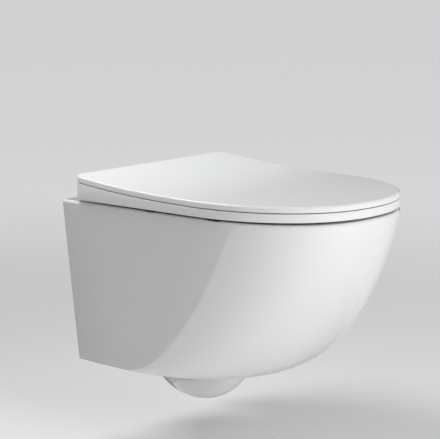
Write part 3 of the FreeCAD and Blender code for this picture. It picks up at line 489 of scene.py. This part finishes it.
# %% [markdown]
# ## The outline of the seat
# Seat and lid share one outline: a straight rear edge, corners of 18 mm, straight sides, and a
# round front that is a little fuller than an ellipse. It could be traced as a curve, but these few
# numbers are the CAD's own, so both agree. Grown or inset a little, the same outline gives the rows
# of every rounded edge, each a bit higher and a bit further in.
# %% Seat outline
SEAT_HALF, SEAT_STRAIGHT_END, SEAT_TIP = 0.180, -0.261, -0.479
SEAT_CORNER, SEAT_FULLNESS = 0.018, 2.25
SEAT_Z, SEAT_TOP, LID_Z, LID_TOP = 0.0835, 0.0970, 0.0985, 0.1075
CORNER_STEPS, SEAT_SIDE_STEPS, SEAT_FRONT_STEPS, ACROSS = 8, 28, 60, 24


def half_outline(inset, from_corner):
    """Points from the rear right corner, along the side and round the front, to the tip."""
    points = []
    centre_x, centre_y = SEAT_HALF - SEAT_CORNER, SEAT_REAR - SEAT_CORNER
    if from_corner:
        r = SEAT_CORNER - inset
        for turn in quarter_turn(CORNER_STEPS)[:-1]:
            points.append((centre_x + r * math.sin(turn), centre_y + r * math.cos(turn)))
    half = SEAT_HALF - inset
    for k in range(SEAT_SIDE_STEPS):
        points.append((half, mixed(centre_y, SEAT_STRAIGHT_END, k / SEAT_SIDE_STEPS)))
    for turn in quarter_turn(SEAT_FRONT_STEPS):
        forward = math.sin(turn)
        across = max(0.0, 1 - forward**SEAT_FULLNESS) ** (1 / SEAT_FULLNESS)
        points.append((half * across, mixed(SEAT_STRAIGHT_END, SEAT_TIP + inset, forward)))
    return points


def both_halves(inset, z, from_corner):
    """The outline from the rear left, round the front, to the rear right."""
    right = half_outline(inset, from_corner)
    return [(-x, y, z) for x, y in right] + [(x, y, z) for x, y in right[-2::-1]]


def closed_ring(inset, z):
    """The whole outline as a closed ring, its rear edge in ACROSS steps."""
    ring = both_halves(inset, z, from_corner=True)
    x, y = ring[-1][:2]
    return ring + [(mixed(x, -x, k / ACROSS), y, z) for k in range(1, ACROSS)]


print("outline:", len(closed_ring(0.0, SEAT_Z)), "points")

# %% [markdown]
# ## The lid's edge and top
# The lid is a plate 9 mm thick with a 3 mm rounded edge, which is what catches the bright line
# along its rim. A Bevel modifier could round it, but would cut the curved rim unevenly. So rings go
# up the wall and over the edge, and rows from the left side to the right one close the top.
# %% Edge and top of the lid
LID_EDGE, LID_EDGE_STEPS = 0.003, 8


def rounded_profile(z_low, z_high, radius, steps):
    """Insets and heights up a wall and over its rounded top edge."""
    profile = [(0.0, z_low), (0.0, mixed(z_low, z_high - radius, 0.5))]
    for turn in quarter_turn(steps):
        profile.append((radius * (1 - math.cos(turn)), z_high - radius * (1 - math.sin(turn))))
    return profile


def rows_across(ring):
    """The lid's top: rows from the left half of a ring to its right half."""
    half_count = (len(ring) + 2 - ACROSS) // 2
    verts, faces = [], []
    for k in range(half_count):
        left, right = ring[k], ring[2 * half_count - 2 - k]
        for j in range(ACROSS + 1):
            verts.append(tuple(mixed(a, b, j / ACROSS) for a, b in zip(left, right)))
    for row in range(half_count - 1):
        for j in range(ACROSS):
            a = row * (ACROSS + 1) + j
            faces.append((a, a + ACROSS + 1, a + ACROSS + 2, a + 1))
    return verts, faces


lid_profile = rounded_profile(LID_Z, LID_TOP, LID_EDGE, LID_EDGE_STEPS)
lid_rings = [closed_ring(inset, z) for inset, z in lid_profile]
print("lid:", len(lid_rings), "rings of", len(lid_rings[0]), "points")

# %% [markdown]
# ## The lid
# Wall, edge and top are one new skin. The underside could be drawn anew as well, but the CAD has
# its knuckles and the buffers' seats right, so it stays. All of the lid rises with the seat's line,
# so the share of each point is 1.
# %% Lid
def put_together(*pieces):
    """Several lists of points and faces as one."""
    verts, faces = [], []
    for more_verts, more_faces in pieces:
        faces += [tuple(len(verts) + i for i in face) for face in more_faces]
        verts += more_verts
    return verts, faces


lid_mesh = put_together(stacked(lid_rings, closed=True), rows_across(lid_rings[-1]))
lid_skin = lifted(mesh_object("lid_skin", *lid_mesh), lambda co: 1.0)
lid = join_rest(lid_skin, ["lid"], "seat_lid")
dress(lid, ["lid"], "seat_plastic", "lid")

# %% [markdown]
# ## The seat ring's outer wall
# Under the lid lies the seat ring. Its outer wall is rounded by 3 mm at the foot, and by 1 mm at
# the top, where the lid lies close. It could be bevelled too, but rows like the lid's give both the
# same even rim. They stop before the rear corners, where the CAD's own wall stays.
# %% Outer wall of the seat
FOOT_EDGE, FOOT_STEPS = 0.003, 6
TOP_EDGE, TOP_STEPS = 0.001, 5

wall_profile = []
for turn in quarter_turn(FOOT_STEPS):
    inset = FOOT_EDGE * (1 - math.sin(turn))
    wall_profile.append((inset, SEAT_Z + FOOT_EDGE * (1 - math.cos(turn))))
wall_profile += rounded_profile(wall_profile[-1][1], SEAT_TOP, TOP_EDGE, TOP_STEPS)[1:]
wall_rows = [both_halves(inset, z, from_corner=False) for inset, z in wall_profile]
print("seat wall:", len(wall_rows), "rows of", len(wall_rows[0]), "points")

# %% [markdown]
# ## The seat's hole
# The hole is a little fuller than an ellipse, and its edge is rounded by 3 mm, as it is where one
# sits. It could be cut out with a boolean, but the edge would still have to be rounded. So rings go
# up its wall and widen over the edge, and their faces are turned to the open middle.
# %% Hole of the seat
HOLE_HALF, HOLE_REAR, HOLE_FRONT, HOLE_FULLNESS = 0.113, -0.136, -0.417, 2.15
HOLE_FOOT, HOLE_EDGE = 0.004, 0.003
HOLE_STEPS, HOLE_EDGE_STEPS = 144, 8
HOLE_MIDDLE, HOLE_HALF_LENGTH = (HOLE_REAR + HOLE_FRONT) / 2, (HOLE_REAR - HOLE_FRONT) / 2


def hole_ring(outset, z):
    """The hole's outline, grown by outset, anticlockwise from above."""
    ring = []
    for k in range(HOLE_STEPS):
        turn = k / HOLE_STEPS * 2 * math.pi
        c, n = math.cos(turn), math.sin(turn)
        x = math.copysign(abs(c) ** (2 / HOLE_FULLNESS), c) * (HOLE_HALF + outset)
        y = math.copysign(abs(n) ** (2 / HOLE_FULLNESS), n) * (HOLE_HALF_LENGTH + outset)
        ring.append((x, y + HOLE_MIDDLE, z))
    return ring


hole_profile = [(0.0, SEAT_Z), (0.0, SEAT_Z + HOLE_FOOT), (0.0, SEAT_TOP - HOLE_EDGE)]
for turn in quarter_turn(HOLE_EDGE_STEPS)[1:]:
    outset = HOLE_EDGE * (1 - math.cos(turn))
    hole_profile.append((outset, SEAT_TOP - HOLE_EDGE * (1 - math.sin(turn))))
hole_rings = [hole_ring(outset, z) for outset, z in hole_profile]
print("hole:", len(hole_rings), "rings of", HOLE_STEPS, "points")

# %% [markdown]
# ## The seat ring
# Wall and hole are one new skin, and a CAD triangle counts as lying on it up to 1.3 mm away. The
# top could be drawn anew too, but it is plain, so it stays as the CAD has it. The foot stays level
# on the rim while the top rises, so a point's share of the rise grows with its height.
# %% Seat ring
SEAT_LIES_ON = 0.0013


def seat_share(co):
    """No rise up to the top of the foot's rounding, and all of it from where the top's begins."""
    between = SEAT_TOP - TOP_EDGE - SEAT_Z - FOOT_EDGE
    return min(1.0, max(0.0, (co.z - SEAT_Z - FOOT_EDGE) / between))


hole_wall = stacked(hole_rings, closed=True, inward=True)
seat_mesh = put_together(stacked(wall_rows, closed=False), hole_wall)
seat_skin = lifted(mesh_object("seat_skin", *seat_mesh), seat_share)
seat_ring = join_rest(seat_skin, ["seat_ring"], "seat_ring_finished", reach=SEAT_LIES_ON)
dress(seat_ring, ["seat_ring"], "seat_plastic", "seat")

# %% [markdown]
# ## The floor
# The pan hangs with its rim about 0.4 m over the floor, and the floor runs on to the horizon as the
# background. A curved backdrop could stand there, but one plane has no seam in any view. The floor
# is also painted with light: it glows, faintly near the pan and more strongly away from it, so the
# far floor reads pale, the pan's shadow stays near it, and a little light reaches the pan from
# below.
# %% Floor
RIM_OVER_FLOOR = 0.40
FLOOR_Z = RIM_Z - RIM_OVER_FLOOR
FLOOR_HALF = 40
GLOW_FROM, GLOW_TO = (0.3, 0.12), (2.6, 0.42)


def stage_material(name, colour, rough):
    mat = bpy.data.materials.new(name)
    mat.use_nodes = True
    shader = mat.node_tree.nodes["Principled BSDF"]
    shader.inputs["Base Color"].default_value = (*colour, 1)
    shader.inputs["Roughness"].default_value = rough
    return mat


def floor_material():
    mat = stage_material("pale floor with painted glow", (0.82, 0.82, 0.81), 0.6)
    nodes, links = mat.node_tree.nodes, mat.node_tree.links
    shader = nodes["Principled BSDF"]
    shader.inputs["Specular IOR Level"].default_value = 0.0
    place = nodes.new("ShaderNodeTexCoord")
    distance = nodes.new("ShaderNodeVectorMath")
    distance.operation = "LENGTH"
    links.new(place.outputs["Object"], distance.inputs[0])
    glow = nodes.new("ShaderNodeMapRange")
    glow.interpolation_type = "SMOOTHSTEP"
    for end, (where, strength) in (("Min", GLOW_FROM), ("Max", GLOW_TO)):
        glow.inputs[f"From {end}"].default_value = where
        glow.inputs[f"To {end}"].default_value = strength
    links.new(distance.outputs["Value"], glow.inputs["Value"])
    # Painted light: the floor emits light, weak near the pan and growing away from it.
    shader.inputs["Emission Color"].default_value = (1, 1, 1, 1)
    links.new(glow.outputs["Result"], shader.inputs["Emission Strength"])
    return mat


signs = ((-1, -1), (1, -1), (1, 1), (-1, 1))
corners = [(x * FLOOR_HALF, y * FLOOR_HALF, FLOOR_Z) for x, y in signs]
floor = mesh_object("floor", corners, [(0, 1, 2, 3)])
floor.data.materials.append(floor_material())
print("floor at z =", round(FLOOR_Z, 3))

# %% [markdown]
# ## Lights
# A large soft box at the front, a little to the left, is the key light, and a small one over the
# hinges brightens the rear of the lid. A sun or a bare bulb could light the object too, but would
# draw hard shadows where a studio's are soft. The large box isn't mirrored, because seen from
# behind it would turn the lid all white.
# %% Lights
def soft_box(name, place, target, size, watts, mirrored):
    lamp = bpy.data.lights.new(name, "AREA")
    lamp.shape = "RECTANGLE"
    lamp.size, lamp.size_y = size
    lamp.energy = watts
    obj = bpy.data.objects.new(name, lamp)
    bpy.context.scene.collection.objects.link(obj)
    obj.location = place
    aim = Vector(target) - Vector(place)
    obj.rotation_euler = aim.to_track_quat("-Z", "Y").to_euler()
    obj.visible_camera = False
    obj.visible_glossy = mirrored


soft_box("front box", (-0.3, -2.7, 0.7), (0, -0.3, -0.05), (2.0, 2.0), watts=41, mirrored=False)
soft_box("lid box", (-0.3, 0.25, 0.95), (-0.1, -0.2, 0.1), (0.5, 0.5), watts=8, mirrored=True)

# %% [markdown]
# ## Cards
# More lamps could shape the rest, but white glaze shows its form mostly by what it mirrors, and a
# studio steers that with cards. The dark wall card stands in the plane that the pan hangs on, and
# its foot is the soft curved line across the pan's side. The far card tones the lid. The side card
# isn't mirrored: it only keeps light off the pan's near side. No card is in the picture, and none
# casts a shadow.
# %% Cards
def grey_card(name, start, end, low, high, tone, mirrored):
    """An upright card between two points on the floor plan."""
    corners = [(*start, low), (*end, low), (*end, high), (*start, high)]
    card = mesh_object(name, corners, [(0, 1, 2, 3)])
    card.data.materials.append(stage_material(name, (tone, tone, tone), 1.0))
    card.visible_camera = False
    card.visible_glossy = mirrored
    card.visible_diffuse = not mirrored
    card.visible_shadow = False


grey_card("wall card", (-3.2, 0.004), (0.4, 0.004), -0.318, 0.08, tone=0.03, mirrored=True)
grey_card("far card", (0.9, 2.9), (3.6, 0.8), -0.31, 0.62, tone=0.25, mirrored=True)
grey_card("side card", (-1.3, -0.7), (-1.3, 1.3), -0.12, 0.9, tone=0.03, mirrored=False)

# %% [markdown]
# ## The studio's air
# The world gives a weak, even light that opens the shadows. The background above the horizon should
# be pale without lighting the object more. So Light Path picks the pale tone for rays from the
# camera and for mirrored and refracted ones, and the weak light for all others.
# %% World and view
world = bpy.data.worlds.new("studio air")
bpy.context.scene.world = world
world.use_nodes = True
nodes, links = world.node_tree.nodes, world.node_tree.links
ambient = nodes["Background"]
ambient.inputs["Color"].default_value = (0.96, 0.98, 1.0, 1)
ambient.inputs["Strength"].default_value = 0.27
pale = nodes.new("ShaderNodeBackground")
pale.inputs["Color"].default_value = (0.70, 0.71, 0.72, 1)
pale.inputs["Strength"].default_value = 1.0
path = nodes.new("ShaderNodeLightPath")
seen = path.outputs["Is Camera Ray"]
for ray in ("Is Glossy Ray", "Is Transmission Ray"):
    either = nodes.new("ShaderNodeMath")
    either.operation = "MAXIMUM"
    links.new(seen, either.inputs[0])
    links.new(path.outputs[ray], either.inputs[1])
    seen = either.outputs[0]
choice = nodes.new("ShaderNodeMixShader")
links.new(seen, choice.inputs[0])
links.new(ambient.outputs[0], choice.inputs[1])
links.new(pale.outputs[0], choice.inputs[2])
links.new(choice.outputs[0], nodes["World Output"].inputs["Surface"])
bpy.context.scene.view_settings.view_transform = "Standard"
print("world:", world.name)
